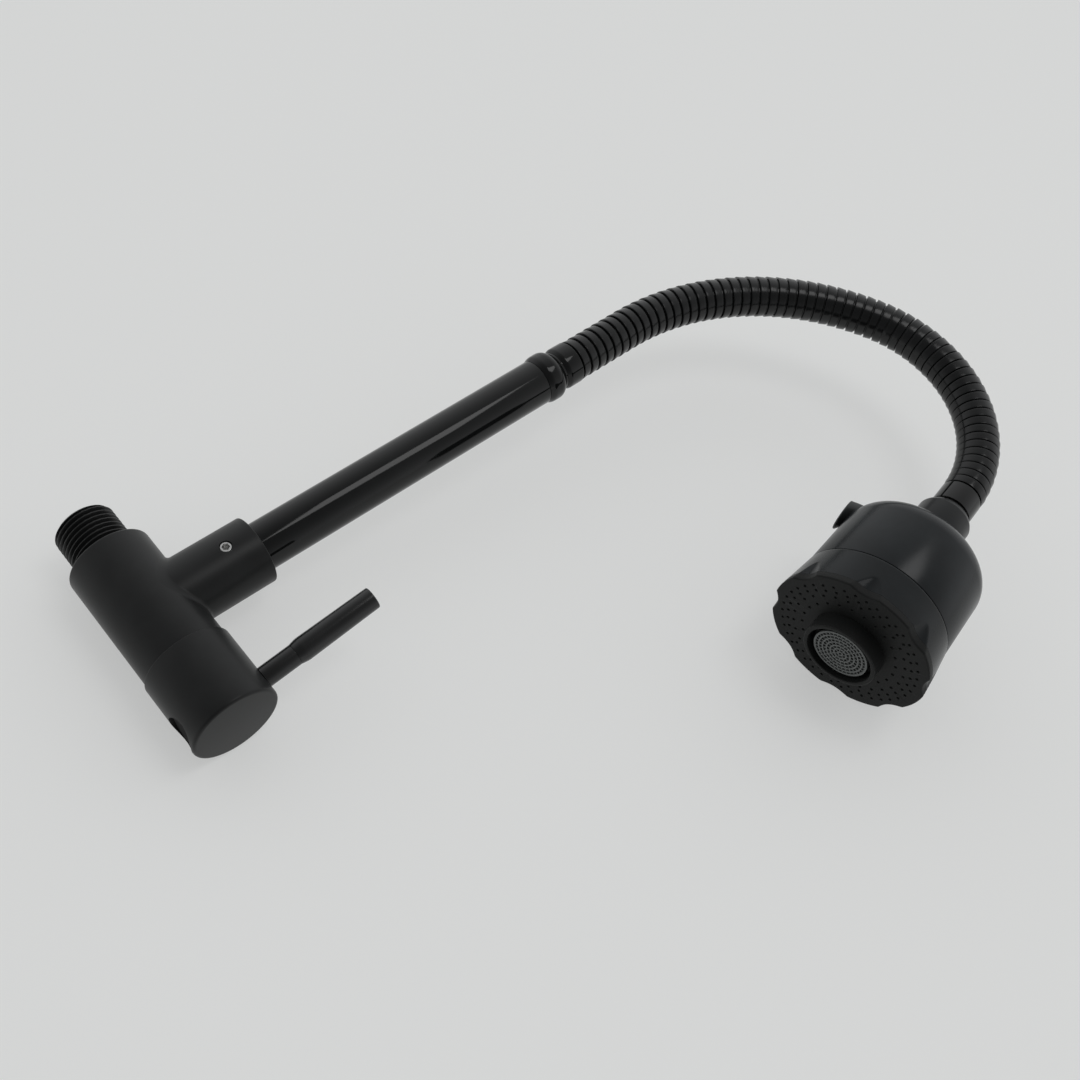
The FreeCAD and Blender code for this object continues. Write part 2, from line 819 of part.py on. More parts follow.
def mode_knob():
    """Toggle knob that leans towards the face and flares to a round end, on a root against the core."""
    spots = [
        (0, 0, 0),
        (knob_foot_radius, 0, 0),
        (knob_neck_radius, knob_neck_reach, -knob_neck_rise),
        (knob_end_radius, knob_reach - knob_edge_chamfer, knob_end_drop),
        (knob_end_radius - knob_edge_chamfer, knob_reach, knob_end_drop),
        (0, knob_reach, knob_end_drop),
    ]
    rings = []
    for radius, reach, drop in spots:
        ring = [spun((radius, reach), 360 * i / inner_sides) for i in range(inner_sides)]
        rings.append([corner + Vector(0, drop, 0) for corner in ring])
    return on_head(on_knob(ruled(rings).fuse(knob_root(knob_root_radius, knob_root_width)), 0))


def pieces():
    """Every piece of the tap with its name."""
    made = {
        "inlet_nipple": inlet_nipple(),
        "tap_body": tap_body(),
        "spout_screw": spout_screw(),
        "valve_cartridge": valve_cartridge(),
        "fixed_disc": fixed_disc(),
        "moving_disc": moving_disc(),
        "spindle": spindle(),
        "handle_cap": handle_cap(),
        "handle_screw": handle_screw(),
        "lever_stem": lever_stem(),
        "lever_grip": lever_grip(),
        "spout_foot": spout_foot(),
        "spout_seal": spout_seal(),
        "spout_tube": spout_tube(),
        "collar_nut": collar_nut(),
        "upper_ferrule": upper_ferrule(),
        "lower_ferrule": lower_ferrule(),
        "ball_stem": ball_stem(),
        "dome_nut": dome_nut(),
        "ball_seal": ball_seal(),
        "housing": housing(),
        "grip_ring": grip_ring(),
        "face_plate": face_plate(),
        "water_core": water_core(),
        "aerator_sleeve": aerator_sleeve(),
        "aerator_grid": aerator_grid(),
        "mode_knob": mode_knob(),
    }
    for link in range(hose_links):
        made["hose_link_%02d" % (link + 1)] = hose_link(link)
    return made


def build():
    """Write each piece to its own file."""
    os.makedirs("parts", exist_ok=True)
    for name, shape in pieces().items():
        print(name, len(shape.Solids), shape.isValid(), round(shape.Volume, 1))
        shape.Solids[0].exportStep("parts/%s.step" % name)


build()
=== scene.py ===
"""Cold water kitchen tap on a pale table: smooth outer skins, finishes, light and camera.

Every new surface is a grid worked out with numpy. A turned piece carries an outline of (radius, height) points
round an axis, the gooseneck carries its rib outline along a route of one straight and two arcs.
Lengths are written in millimetres and laid into the meshes in metres.
"""
import bpy
import bmesh
import math
import numpy as np
from mathutils import Matrix


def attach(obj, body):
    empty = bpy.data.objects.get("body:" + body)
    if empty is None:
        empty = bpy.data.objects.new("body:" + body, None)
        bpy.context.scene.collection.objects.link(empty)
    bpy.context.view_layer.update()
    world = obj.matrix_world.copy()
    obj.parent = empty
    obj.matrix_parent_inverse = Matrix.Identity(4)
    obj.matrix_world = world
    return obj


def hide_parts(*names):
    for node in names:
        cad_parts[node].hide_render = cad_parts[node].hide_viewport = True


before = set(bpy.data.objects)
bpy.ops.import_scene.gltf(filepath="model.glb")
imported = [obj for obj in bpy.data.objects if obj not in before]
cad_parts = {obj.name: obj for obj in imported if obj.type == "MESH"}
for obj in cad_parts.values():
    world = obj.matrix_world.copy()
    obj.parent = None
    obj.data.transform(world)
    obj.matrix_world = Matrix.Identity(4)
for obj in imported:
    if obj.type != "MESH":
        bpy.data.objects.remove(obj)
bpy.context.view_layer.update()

MM = 0.001
FULL_TURN = 2 * math.pi
X_AXIS = np.array([1.0, 0.0, 0.0])

# Places of the main axes, in millimetres
branch_offset = 24.2
lever_station = 65.7
lever_turn = math.radians(8.4)
cap_hole_lag = math.radians(8)
branch_screw_height = 29.3
hose_foot = np.array([0.0, -branch_offset, 180.0])
hose_straight = 25.8
wide_radius = 94.8
wide_turn = math.radians(64.6)
tight_radius = 54.3
tight_turn = math.radians(104.4)
hose_end_straight = 1.4
link_count = 10
ribs_per_link = 6
ball_reach = 14.2
ball_to_face = 64.5
knob_pivot_radius = 16.0
knob_pivot_height = 44.5

# Lengths worked out from those above
total_turn = wide_turn + tight_turn
wide_end = hose_straight + wide_radius * wide_turn
tight_end = wide_end + tight_radius * tight_turn
hose_length = tight_end + hose_end_straight
link_length = hose_length / link_count
rib_pitch = link_length / ribs_per_link

# The ribs lie this much nearer the tube than the links that carry them
rib_shift = 1.6

# Outside of the body's barrel, on which the branch stands
barrel_radius = 14.4

# Spray head, heights counted upwards from the face
face_radius = 29.4
face_thickness = 2.6
ring_top = 16.4
ring_top_radius = 27.4
collar_radius = 13.3
collar_height = 6.4


# ---- places ----

class Place:
    """A place to build in: an origin and three directions, heights counted along the third."""

    def __init__(self, origin, across, up):
        self.origin = np.array(origin, float)
        self.x = np.array(across, float)
        self.z = np.array(up, float)
        self.y = np.cross(self.z, self.x)

    def lay(self, points):
        """Turn local points (..., 3) into the tap's own axes: origin + x X + y Y + z Z."""
        return self.origin + points[..., 0:1] * self.x + points[..., 1:2] * self.y + points[..., 2:3] * self.z


def route(distance):
    """Centre of the hose and its turn about X at distances from its foot.

    A straight run, then an arc of the wide radius, then an arc of the tight radius, then straight on.
    """
    distance = np.asarray(distance, float)
    run = np.minimum(distance, hose_straight)
    wide = np.clip(distance - hose_straight, 0, wide_end - hose_straight) / wide_radius
    tight = np.clip(distance - wide_end, 0, tight_end - wide_end) / tight_radius
    rest = np.maximum(distance - tight_end, 0)
    turn = wide + tight
    out = wide_radius * (1 - np.cos(wide)) + tight_radius * (np.cos(wide) - np.cos(turn))
    rise = run + wide_radius * np.sin(wide) + tight_radius * (np.sin(turn) - np.sin(wide))
    out = out + rest * np.sin(turn)
    rise = rise + rest * np.cos(turn)
    return hose_foot + np.stack([0 * out, -out, rise], axis=-1), turn


ball_centre = route(hose_length + ball_reach)[0]
head_up = np.array([0.0, math.sin(math.pi - total_turn), math.cos(math.pi - total_turn)])
lever_up = (-math.sin(lever_turn), 0, math.cos(lever_turn))
lever_across = (math.cos(lever_turn), 0, math.sin(lever_turn))

plain = Place((0, 0, 0), (1, 0, 0), (0, 0, 1))
towards_wall = Place((0, 0, 0), (1, 0, 0), (0, 1, 0))
towards_handle = Place((0, 0, 0), (1, 0, 0), (0, -1, 0))
spout = Place((0, -branch_offset, 0), (1, 0, 0), (0, 0, 1))
lever = Place((0, -lever_station, 0), lever_across, lever_up)
cap_hole_turn = lever_turn - cap_hole_lag
cap_hole = Place((0, -lever_station, 0), (math.cos(cap_hole_turn), 0, math.sin(cap_hole_turn)),
                 (math.sin(cap_hole_turn), 0, -math.cos(cap_hole_turn)))
side_hole = Place((0, -branch_offset, branch_screw_height), (0, 1, 0), (-1, 0, 0))
swivel = Place(ball_centre, (1, 0, 0), head_up)
head = Place(ball_centre - ball_to_face * head_up, (1, 0, 0), head_up)
knob = Place(head.lay(np.array([0.0, knob_pivot_radius, knob_pivot_height])), (1, 0, 0), head.y)


# ---- outlines ----

def eased(corners, steps=6):
    """Outline through (radius, height, ease) corners.

    Each eased corner is a parabola between the points that lie its ease away along both sides. A corner at either
    end may be there only to give its neighbour's ease a direction. The caller then leaves it out of the result.
    """
    points = []
    for i, (radius, height, ease) in enumerate(corners):
        here = np.array([radius, height])
        before = np.array(corners[i - 1][:2])
        after = np.array(corners[(i + 1) % len(corners)][:2])
        if ease == 0:
            points.append(here[None])
            continue
        start = here + (before - here) / np.linalg.norm(before - here) * ease
        end = here + (after - here) / np.linalg.norm(after - here) * ease
        t = np.linspace(0, 1, steps)[:, None]
        points.append((1 - t) ** 2 * start + 2 * t * (1 - t) * here + t ** 2 * end)
    return np.concatenate(points)


def arc(radius, first, last, steps, centre=(0.0, 0.0)):
    """(radius, height) points on a circle about a centre, angles in degrees from the axis."""
    angle = np.radians(np.linspace(first, last, steps))
    return np.stack([centre[0] + radius * np.sin(angle), centre[1] + radius * np.cos(angle)], axis=-1)


# ---- meshes ----

# Faces that meet at more than this many degrees keep a sharp edge. The thread and the flutes take the second one.
EDGE_ANGLE = 32
FLUTE_EDGE_ANGLE = 40

# Points nearer each other than this are one point, in metres
MERGE_DISTANCE = 2e-7


def smooth(mesh, sharp):
    """Smooth shading between the edges that are sharper than an angle in degrees."""
    mesh.shade_smooth()
    mesh.set_sharp_from_angle(angle=math.radians(sharp))


def mesh_piece(name, points, faces, sharp):
    """Object from points in millimetres and faces, merged, turned outwards and smooth between sharp edges."""
    mesh = bpy.data.meshes.new(name)
    mesh.from_pydata((points * MM).tolist(), [], faces.tolist())
    work = bmesh.new()
    work.from_mesh(mesh)
    bmesh.ops.remove_doubles(work, verts=work.verts, dist=MERGE_DISTANCE)
    bmesh.ops.recalc_face_normals(work, faces=work.faces)
    work.to_mesh(mesh)
    work.free()
    smooth(mesh, sharp)
    piece = bpy.data.objects.new(name, mesh)
    bpy.context.scene.collection.objects.link(piece)
    return piece


def ring_faces(rings, around, loop):
    """Quads between each ring of a grid and the next, and from the last to the first on a loop."""
    number = np.arange(rings * around).reshape(rings, around)
    low = number if loop else number[:-1]
    high = np.roll(number, -1, axis=0) if loop else number[1:]
    return np.stack([low, np.roll(low, -1, 1), np.roll(high, -1, 1), high], axis=-1).reshape(-1, 4)


def ring_part(rings, loop):
    """Points and faces of rings of points (rings, around, 3)."""
    return rings.reshape(-1, 3), ring_faces(rings.shape[0], rings.shape[1], loop)


def swept(name, rings, loop, sharp=EDGE_ANGLE):
    """Piece from rings of points."""
    return mesh_piece(name, *ring_part(rings, loop), sharp)


def turned_rings(place, outline, around):
    """Rings of an outline turned about a place's axis: (radius cos a, radius sin a, height)."""
    outline = np.asarray(outline, float)
    angle = np.linspace(0, FULL_TURN, around, endpoint=False)
    radius = outline[:, 0:1]
    height = np.repeat(outline[:, 1:2], around, axis=1)
    return place.lay(np.stack([radius * np.cos(angle), radius * np.sin(angle), height], axis=-1))


def turned(name, place, outline, around):
    """Turned piece: a closed loop of outline, or one that starts and ends on the axis."""
    return swept(name, turned_rings(place, outline, around), bool(outline[0][0] > 0))


def pressed(outline, middle, first, last):
    """Flat outline run from a first station to a last one and closed on its middle at both.

    Gives the outline's two coordinates and the station, each as an array (4, around).
    """
    middle = np.array(middle)
    spread = np.array([0.0, 1.0, 1.0, 0.0])[:, None, None]
    flat = middle + spread * (outline - middle)
    station = np.array([first, first, last, last])[:, None] + 0 * outline[:, 0]
    return flat[..., 0], flat[..., 1], station


def joined(name, parts):
    """One piece from several (points, faces) parts."""
    points, faces, count = [], [], 0
    for part_points, part_faces in parts:
        points.append(part_points)
        faces.append(part_faces + count)
        count += len(part_points)
    return mesh_piece(name, np.concatenate(points), np.concatenate(faces), EDGE_ANGLE)


def carved(piece, cutters, sharp=EDGE_ANGLE):
    """Cut holes into a piece with throwaway cutters."""
    for cutter in cutters:
        cut = piece.modifiers.new("cut", "BOOLEAN")
        cut.object = cutter
        cut.operation = "DIFFERENCE"
        cut.solver = "EXACT"
    solid = bpy.data.meshes.new_from_object(piece.evaluated_get(bpy.context.evaluated_depsgraph_get()))
    piece.modifiers.clear()
    piece.data = solid
    solid.name = piece.name
    smooth(solid, sharp)
    for cutter in cutters:
        bpy.data.objects.remove(cutter, do_unlink=True)
    return piece


def hole_cutter(place, radius, low, high, around=48):
    """Round cutter for a hole, closed on its axis."""
    return turned("hole_cutter", place, [(0, low), (radius, low), (radius, high), (0, high)], around)


def key_cutter(place, flats, low, high):
    """Cutter for a key socket, given its width across flats."""
    sides = 6
    return hole_cutter(place, flats / 2 / math.cos(math.pi / sides), low, high, sides)


# ---- finishes ----

def noise(tree, place, scale, detail):
    """Noise texture laid in a piece's own axes."""
    texture = tree.nodes.new("ShaderNodeTexNoise")
    texture.inputs["Scale"].default_value = scale
    texture.inputs["Detail"].default_value = detail
    tree.links.new(place.outputs["Object"], texture.inputs["Vector"])
    return texture


def finish(name, base, roughness, metallic=0.0, specular=0.5, grain=900.0, grain_height=0.02, mottling=0.25):
    """Coated or moulded finish.

    Slow noise mottles the colour and the roughness, and fine noise raises the grain as a bump. The grain's height
    is in millimetres.
    """
    roughness_play, least_roughness = 0.04, 0.02
    slow_scale, slow_detail, fine_detail = 60.0, 4.0, 2.0
    tint_start, tint_end, bump_strength = 0.3, 0.7, 0.35
    material = bpy.data.materials.new(name)
    material.use_nodes = True
    tree = material.node_tree
    nodes = tree.nodes
    links = tree.links
    shader = nodes["Principled BSDF"]
    shader.inputs["Metallic"].default_value = metallic
    shader.inputs["Specular IOR Level"].default_value = specular
    place = nodes.new("ShaderNodeTexCoord")

    slow = noise(tree, place, slow_scale, slow_detail)
    tint = nodes.new("ShaderNodeValToRGB")
    tint.color_ramp.elements[0].position = tint_start
    tint.color_ramp.elements[1].position = tint_end
    tint.color_ramp.elements[0].color = (*[c * (1 - mottling) for c in base], 1)
    tint.color_ramp.elements[1].color = (*[min(c * (1 + mottling), 1) for c in base], 1)
    links.new(slow.outputs["Fac"], tint.inputs["Fac"])
    links.new(tint.outputs["Color"], shader.inputs["Base Color"])
    spread = nodes.new("ShaderNodeMapRange")
    spread.inputs["To Min"].default_value = max(roughness - roughness_play, least_roughness)
    spread.inputs["To Max"].default_value = roughness + roughness_play
    links.new(slow.outputs["Fac"], spread.inputs["Value"])
    links.new(spread.outputs["Result"], shader.inputs["Roughness"])

    fine = noise(tree, place, grain, fine_detail)
    bump = nodes.new("ShaderNodeBump")
    bump.inputs["Strength"].default_value = bump_strength
    bump.inputs["Distance"].default_value = grain_height * MM
    links.new(fine.outputs["Fac"], bump.inputs["Height"])
    links.new(bump.outputs["Normal"], shader.inputs["Normal"])
    return material


satin_black = finish("satin black coat", (0.0165, 0.0172, 0.0172), 0.37, specular=0.25, grain=1400)
gloss_black = finish("gloss black coat", (0.008, 0.0085, 0.0085), 0.08,
                     specular=0.33, grain=500, grain_height=0.004)
lever_black = finish("lever black coat", (0.0135, 0.014, 0.014), 0.24,
                     specular=0.5, grain=900, grain_height=0.008)
thread_black = finish("thread black coat", (0.011, 0.0115, 0.0115), 0.34,
                      specular=0.4, grain=1500, grain_height=0.03)
hose_black = finish("hose black", (0.0085, 0.009, 0.0092), 0.2, specular=0.36, grain=1800)
housing_black = finish("housing moulding", (0.0175, 0.0205, 0.0225), 0.24,
                       specular=0.29, grain=1600, grain_height=0.006)
face_black = finish("face moulding", (0.015, 0.0157, 0.0152), 0.55,
                    specular=0.18, grain=1800, grain_height=0.03)
# Grip ring: a darker copy of the housing moulding, as painted shade. Its lower base colour and specular dim the
# bright room that it reflects.
ring_black_painted_darker = finish("ring moulding painted darker", (0.0145, 0.017, 0.0185), 0.24,
                    specular=0.15, grain=1600, grain_height=0.006)
# Mode knob: a lighter moulding than the rest of the head, made lighter still as painted light for its shaded
# underside.
knob_black_painted_lighter = finish("knob moulding painted lighter", (0.038, 0.042, 0.042), 0.45, grain=1600, grain_height=0.015)
nut_black = finish("nut moulding", (0.0135, 0.015, 0.0155), 0.3, specular=0.2, grain=1600, grain_height=0.01)
aerator_grey = finish("aerator grey", (0.17, 0.18, 0.175), 0.4, grain=2000, mottling=0.1)
bright_steel = finish("bright steel", (0.6, 0.6, 0.59), 0.3,
                      metallic=1.0, grain=1500, grain_height=0.01, mottling=0.08)
core_black = finish("core moulding", (0.012, 0.012, 0.012), 0.5, grain=1200, mottling=0.1)
brass_finish = finish("turned brass", (0.6, 0.42, 0.18), 0.28,
                      metallic=1.0, grain=900, grain_height=0.01, mottling=0.1)
ceramic_finish = finish("disc ceramic", (0.75, 0.74, 0.7), 0.12,
                        grain=1500, grain_height=0.003, mottling=0.05)
rubber_finish = finish("seal rubber", (0.012, 0.012, 0.012), 0.7, grain=1500, grain_height=0.03)


def coat(piece, material):
    """Give a piece its finish."""
    piece.data.materials.clear()
    piece.data.materials.append(material)


def dress(piece, body, slot, material, *nodes):
    """Give a piece its finish, its body and the nodes that it stands for."""
    coat(piece, material)
    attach(piece, body)
    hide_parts(*nodes)


# ---- inlet and body ----

def thread_piece():
    """Inlet end: radius = crest - depth * tooth(phase), phase = height / pitch - angle / full turn.

    The tooth is a triangle wave with its crest and root cut flat. The thread fades out at the shoulder
    and a cone trims it at the tip. Behind the shoulder a spigot enters the barrel.
    """
    crest, depth, pitch, length, bore = 10.48, 1.16, 1.814, 16.8, 6.5
    crest_flat, flank = 0.16, 0.62
    fade_start, fade_slope = 0.5, 1.3
    tip_drop, tip_slope, tip_radius = 1.35, 1.1, 9.1
    spigot, spigot_end = 8.9, -6.5
    around, steps = 128, 240
    angle = np.linspace(0, FULL_TURN, around, endpoint=False)
    height = np.linspace(0.0, length, steps)[:, None]
    phase = (height / pitch - angle / FULL_TURN) % 1.0
    tooth = np.clip((np.abs(2 * phase - 1) - crest_flat) / flank, 0, 1)
    radius = crest - depth * tooth
    radius = np.minimum(radius, crest - depth + np.maximum(height - fade_start, 0) * fade_slope)
    radius = np.minimum(radius, crest - tip_drop + np.maximum(length - height, 0) * tip_slope)
    outer = np.stack([radius * np.cos(angle), radius * np.sin(angle), np.repeat(height, around, 1)], axis=-1)
    inner = eased([(tip_radius, length, 0), (bore, length, 0.5), (bore, spigot_end, 0), (spigot, spigot_end, 0),
                   (spigot, 0, 0)])
    rings = np.concatenate([towards_wall.lay(outer), turned_rings(towards_wall, inner, around)])
    return swept("inlet_thread", rings, True, sharp=FLUTE_EDGE_ANGLE)


def barrel_piece():
    """Barrel of the body, turned from its outline, bored for the inlet and the valve."""
    inlet_bore, valve_bore, valve_seat, end = 8.95, 10.5, 14, 45.95
    return turned("body_barrel", towards_handle, eased([
        (inlet_bore, 0, 0), (barrel_radius, 0, 0.9), (barrel_radius, end, 0.1), (valve_bore, end, 0),
        (valve_bore, valve_seat, 0), (inlet_bore, valve_seat, 0)]), around=144)


def branch_piece():
    """Branch with a flared foot on the barrel, a socket for the spout and a hole for the grub screw.

    Foot: reach = radius + foot (1 - sin a), height = base + foot (1 - cos a), a from 0 to a right angle, where base
    is the barrel's height at that reach.
    """
    around, foot_steps, radius, foot, sink, root = 144, 12, 12.0, 1.6, 0.06, 1.5
    socket, rim, seat, passage, passage_start = 8.8, 39.8, 16.5, 5, 11
    angle = np.linspace(0, FULL_TURN, around, endpoint=False)
    swing = np.radians(np.linspace(0, 90, foot_steps))[:, None]
    reach = radius + foot * (1 - np.sin(swing)) + 0 * angle
    base = np.sqrt(barrel_radius ** 2 - (reach * np.cos(angle)) ** 2)
    height = base + foot * (1 - np.cos(swing)) - sink
    flare = np.stack([reach * np.cos(angle), reach * np.sin(angle), height], axis=-1)
    sunk = flare[:1] - np.array([0, 0, root])
    outline = eased([(radius, 30, 0), (radius, rim, 0.5), (socket, rim, 0.3), (socket, seat, 0), (passage, seat, 0),
                     (passage, passage_start, 0)])
    upper = turned_rings(spout, outline[1:], around)
    branch = swept("body_branch", np.concatenate([spout.lay(sunk), spout.lay(flare), upper]), True)
    return carved(branch, [hole_cutter(side_hole, radius=2.1, low=6, high=14)])


def screw_piece(name, place, radius, foot, top, socket, depth):
    """Grub screw: a turned slug with an eased rim and a six-sided key socket."""
    rim = 0.3
    screw = turned(name, place, eased([(0, foot, 0), (radius, foot, 0), (radius, top, rim), (0, top, 0)]), around=48)
    return carved(screw, [key_cutter(place, socket, top - depth, top + 1)])


dress(thread_piece(), "body", "thread_black", thread_black, "inlet_nipple")
dress(barrel_piece(), "body", "black_satin", satin_black, "tap_body")
dress(branch_piece(), "body", "black_satin", satin_black, "tap_body")
branch_screw = screw_piece("branch_screw", side_hole, radius=2.0, foot=7.3, top=11.5, socket=2.4, depth=3.0)
dress(branch_screw, "body", "steel", bright_steel, "spout_screw")


# ---- handle ----

def cap_piece():
    """End cap of the body with its countersunk screw hole."""
    start, end, radius = 46.0, 73.1, 15.2
    cavity, cavity_end = 12.4, 54
    well, well_floor, cone_start = 4.3, 10.2, 12.3
    mouth, cone_end, outside = 6.2, 13.7, 17
    cap = turned("end_cap", towards_handle, eased([
        (0, cavity_end, 0), (cavity, cavity_end, 0), (cavity, start, 0), (radius, start, 0.25), (radius, end, 1.2),
        (0, end, 0)]), around=144)
    countersink = turned("hole_cutter", cap_hole, [
        (0, well_floor), (well, well_floor), (well, cone_start), (mouth, cone_end), (mouth, outside), (0, outside)],
        around=72)
    return carved(cap, [countersink, hole_cutter(cap_hole, radius=2.6, low=8, high=11)])


def lever_pieces():
    """Stem of the lever, and the finger grip with a hollow that takes the stem's peg."""
    peg, stem_radius, foot, seat, step, peg_end = 3.0, 3.6, 9.05, 14.9, 27.0, 34
    hollow, hollow_end, mouth = 3.05, 34.1, 27.05
    start_radius, widest, widest_height, tip_radius, tip = 3.65, 4.1, 29.55, 3.8, 57.2
    around = 72
    stem = turned("lever_rod", lever, eased([
        (0, foot, 0), (peg, foot, 0), (peg, seat, 0), (stem_radius, seat, 0.2), (stem_radius, step, 0.1),
        (peg, step, 0), (peg, peg_end, 0), (0, peg_end, 0)]), around)
    grip = turned("lever_handle", lever, eased([
        (0, hollow_end, 0), (hollow, hollow_end, 0), (hollow, mouth, 0), (start_radius, mouth, 0.15),
        (widest, widest_height, 0.6), (tip_radius, tip, 0.45), (0, tip, 0)]), around)
    return stem, grip


dress(cap_piece(), "handle", "black_satin", satin_black, "handle_cap")
cap_screw = screw_piece("cap_screw", cap_hole, radius=2.5, foot=6, top=9.05, socket=2.5, depth=1.65)
dress(cap_screw, "handle", "steel", bright_steel, "handle_screw")
stem, grip = lever_pieces()
dress(stem, "handle", "black_gloss", lever_black, "lever_stem")
dress(grip, "handle", "black_gloss", lever_black, "lever_grip")


# ---- spout ----

spout_outlines = {
    "spout_pipe": [(7.4, 34, 0), (8.5, 34, 0.1), (8.5, 161.3, 0.2), (7.4, 161.3, 0)],
    "collar": [(5.6, 153.5, 0), (7.3, 153.5, 0), (7.3, 161.5, 0), (8.4, 161.5, 0.1), (9.25, 163.2, 0.9),
               (9.35, 167.6, 1.5), (7.2, 170.1, 0.3), (7.2, 170.9, 0), (5.6, 170.9, 0)],
    "hose_top_sleeve": [(5.6, 170.9, 0), (7.3, 170.9, 0.1), (8.1, 172.2, 0.6), (8.1, 177.9, 0.3), (7.3, 177.9, 0),
                        (7.3, 175.7, 0), (5.6, 175.7, 0)],
}
spout_nodes = {"spout_pipe": "spout_tube", "collar": "collar_nut", "hose_top_sleeve": "upper_ferrule"}
for name, corners in spout_outlines.items():
    dress(turned(name, spout, eased(corners), around=128), "spout", "black_gloss", gloss_black, spout_nodes[name])


# ---- gooseneck ----

def rib_outline():
    """(distance along the link, radius) points: a lip, ribs that taper away from the tube, narrow grooves, a bell."""
    crest, far_crest, floor, bell, bore = 7.85, 7.5, 6.8, 7.3, 5.6
    half, floor_half, ease, floor_ease, gap, edge = 0.42, 0.2, 0.2, 0.06, 0.37, 0.05
    lip, lip_radius, lip_end, bell_depth = -1.8, 6.9, 0.24, 2.7
    corners = [(lip, lip_radius, 0), (lip_end, lip_radius, 0), (gap, crest, ease)]
    for groove in range(1, ribs_per_link):
        middle = groove * rib_pitch
        corners += [(middle - half, far_crest, ease), (middle - floor_half, floor, floor_ease),
                    (middle + floor_half, floor, floor_ease), (middle + half, crest, ease)]
    corners += [(link_length - gap, far_crest, ease), (link_length - gap - edge, bell, 0),
                (link_length - bell_depth, bell, 0), (link_length - bell_depth, bore, 0),
                (link_length / 2, bore, 0), (lip, bore, 0)]
    return eased(corners, steps=5)


def densely(outline, step):
    """Outline with extra points, so that no run along the hose is longer than a step."""
    nexts = np.roll(outline, -1, axis=0)
    counts = np.maximum(np.ceil(np.abs(nexts[:, 0] - outline[:, 0]) / step).astype(int), 1)
    runs = [start + (end - start) * np.linspace(0, 1, count, endpoint=False)[:, None]
            for start, end, count in zip(outline, nexts, counts)]
    return np.concatenate(runs)


def link_piece(link):
    """One link of the hose: centre(s) + radius (cos a X + sin a n(s)), n square to the route."""
    around = 80
    outline = densely(rib_outline(), step=0.9)
    along = link * link_length + outline[:, 0] - rib_shift
    centre, turn = route(np.maximum(along, 0))
    centre = centre + np.stack([0 * turn, 0 * turn, np.minimum(along, 0)], axis=-1)
    angle = np.linspace(0, FULL_TURN, around, endpoint=False)
    side = np.stack([0 * turn, np.cos(turn), np.sin(turn)], axis=-1)
    spoke = np.cos(angle)[None, :, None] * X_AXIS + np.sin(angle)[None, :, None] * side[:, None]
    return swept("gooseneck_%02d" % (link + 1), centre[:, None] + outline[:, 1:2, None] * spoke, True)


for link in range(link_count):
    number = "%02d" % (link + 1)
    dress(link_piece(link), "link_" + number, "hose_black", hose_black, "hose_link_" + number)


# ---- swivel ----

def steepness(radius, sphere):
    """Angle in degrees from the axis at which a sphere has a radius about the axis."""
    return math.degrees(math.asin(radius / sphere))


def sleeve_piece():
    """Sleeve at the hose's end, hollowed below as a sphere that clears the swivel nut."""
    bore, neck, plug, radius, hollow = 2.2, 3.6, 7.05, 7.7, 10.15
    top, step, foot = 16.4, 15.4, 8.0
    upper = eased([(bore, top, 0), (plug, top, 0), (plug, step, 0), (radius, step, 0.3), (radius, foot, 0)])
    cup = arc(hollow, steepness(radius, hollow), steepness(neck, hollow), steps=10)
    outline = np.concatenate([upper[:-1], cup, [(bore, cup[-1, 1])]])
    return turned("hose_end_sleeve", swivel, outline, around=96)


def ball_piece():
    """Ball of the swivel on its short hollow neck."""
    bore, neck, top, radius, foot = 2.2, 3.6, 10.3, 7.2, 5.5
    sphere = arc(radius, steepness(neck, radius), 180 - math.degrees(math.acos(foot / radius)), steps=24)
    outline = np.concatenate([[(bore, top), (neck, top)], sphere, [(bore, -foot)]])
    return turned("swivel_ball", swivel, outline, around=72)


def nut_piece():
    """Domed swivel nut: (radius sin a, rise cos a) from its mouth to a skirt that enters the housing."""
    radius, rise, mouth, skirt, skirt_end, cavity, throat = 10.35, 8.3, 6.6, 10.0, -14.0, 7.5, 5.2
    dome = arc(1.0, steepness(mouth, radius), steepness(skirt, radius), steps=16) * (radius, rise)
    hollow = arc(cavity, 90, steepness(throat, cavity), steps=12)
    outline = np.concatenate([dome, [(skirt, skirt_end), (cavity, skirt_end)], hollow])
    return turned("swivel_nut", swivel, outline, around=96)


dress(sleeve_piece(), "link_10", "black_gloss", gloss_black, "lower_ferrule")
dress(ball_piece(), "link_10", "steel", bright_steel, "ball_stem")
dress(nut_piece(), "neck", "head_black", nut_black, "dome_nut")


# ---- spray head ----

def side_radius(height):
    """Taper of the grip ring: straight from the face radius to the radius at its top."""
    return face_radius + (ring_top_radius - face_radius) * height / ring_top


def flute_depth(angle, height):
    """Depth of the thumb flutes.

    deep * (1 - rise) * (1 - (offset / half) ^ 2), half = width (1 - rise) ^ narrowing, rise from 0 at the face to
    1 at the flute's reach.
    """
    count, reach, deep, width, narrowing, shift = 8, 8.4, 1.75, 5.4, 0.7, math.radians(-8)
    full_rise = 0.999
    step = FULL_TURN / count
    offset = ((angle - shift + step / 2) % step - step / 2) * face_radius
    rise = np.clip(height / reach, 0, full_rise)
    bowl = np.clip(1 - (offset / (width * (1 - rise) ** narrowing)) ** 2, 0, 1)
    return deep * (1 - rise) * bowl


def fluted_rings(heights, around, drawn_in):
    """Rings of the tapered side with the flutes taken off, drawn in at the eased edges."""
    angle = np.linspace(0, FULL_TURN, around, endpoint=False)
    height = np.asarray(heights, float)[:, None]
    radius = side_radius(height) - flute_depth(angle, height) - np.asarray(drawn_in, float)[:, None]
    return np.stack([radius * np.cos(angle), radius * np.sin(angle), height + 0 * angle], axis=-1)


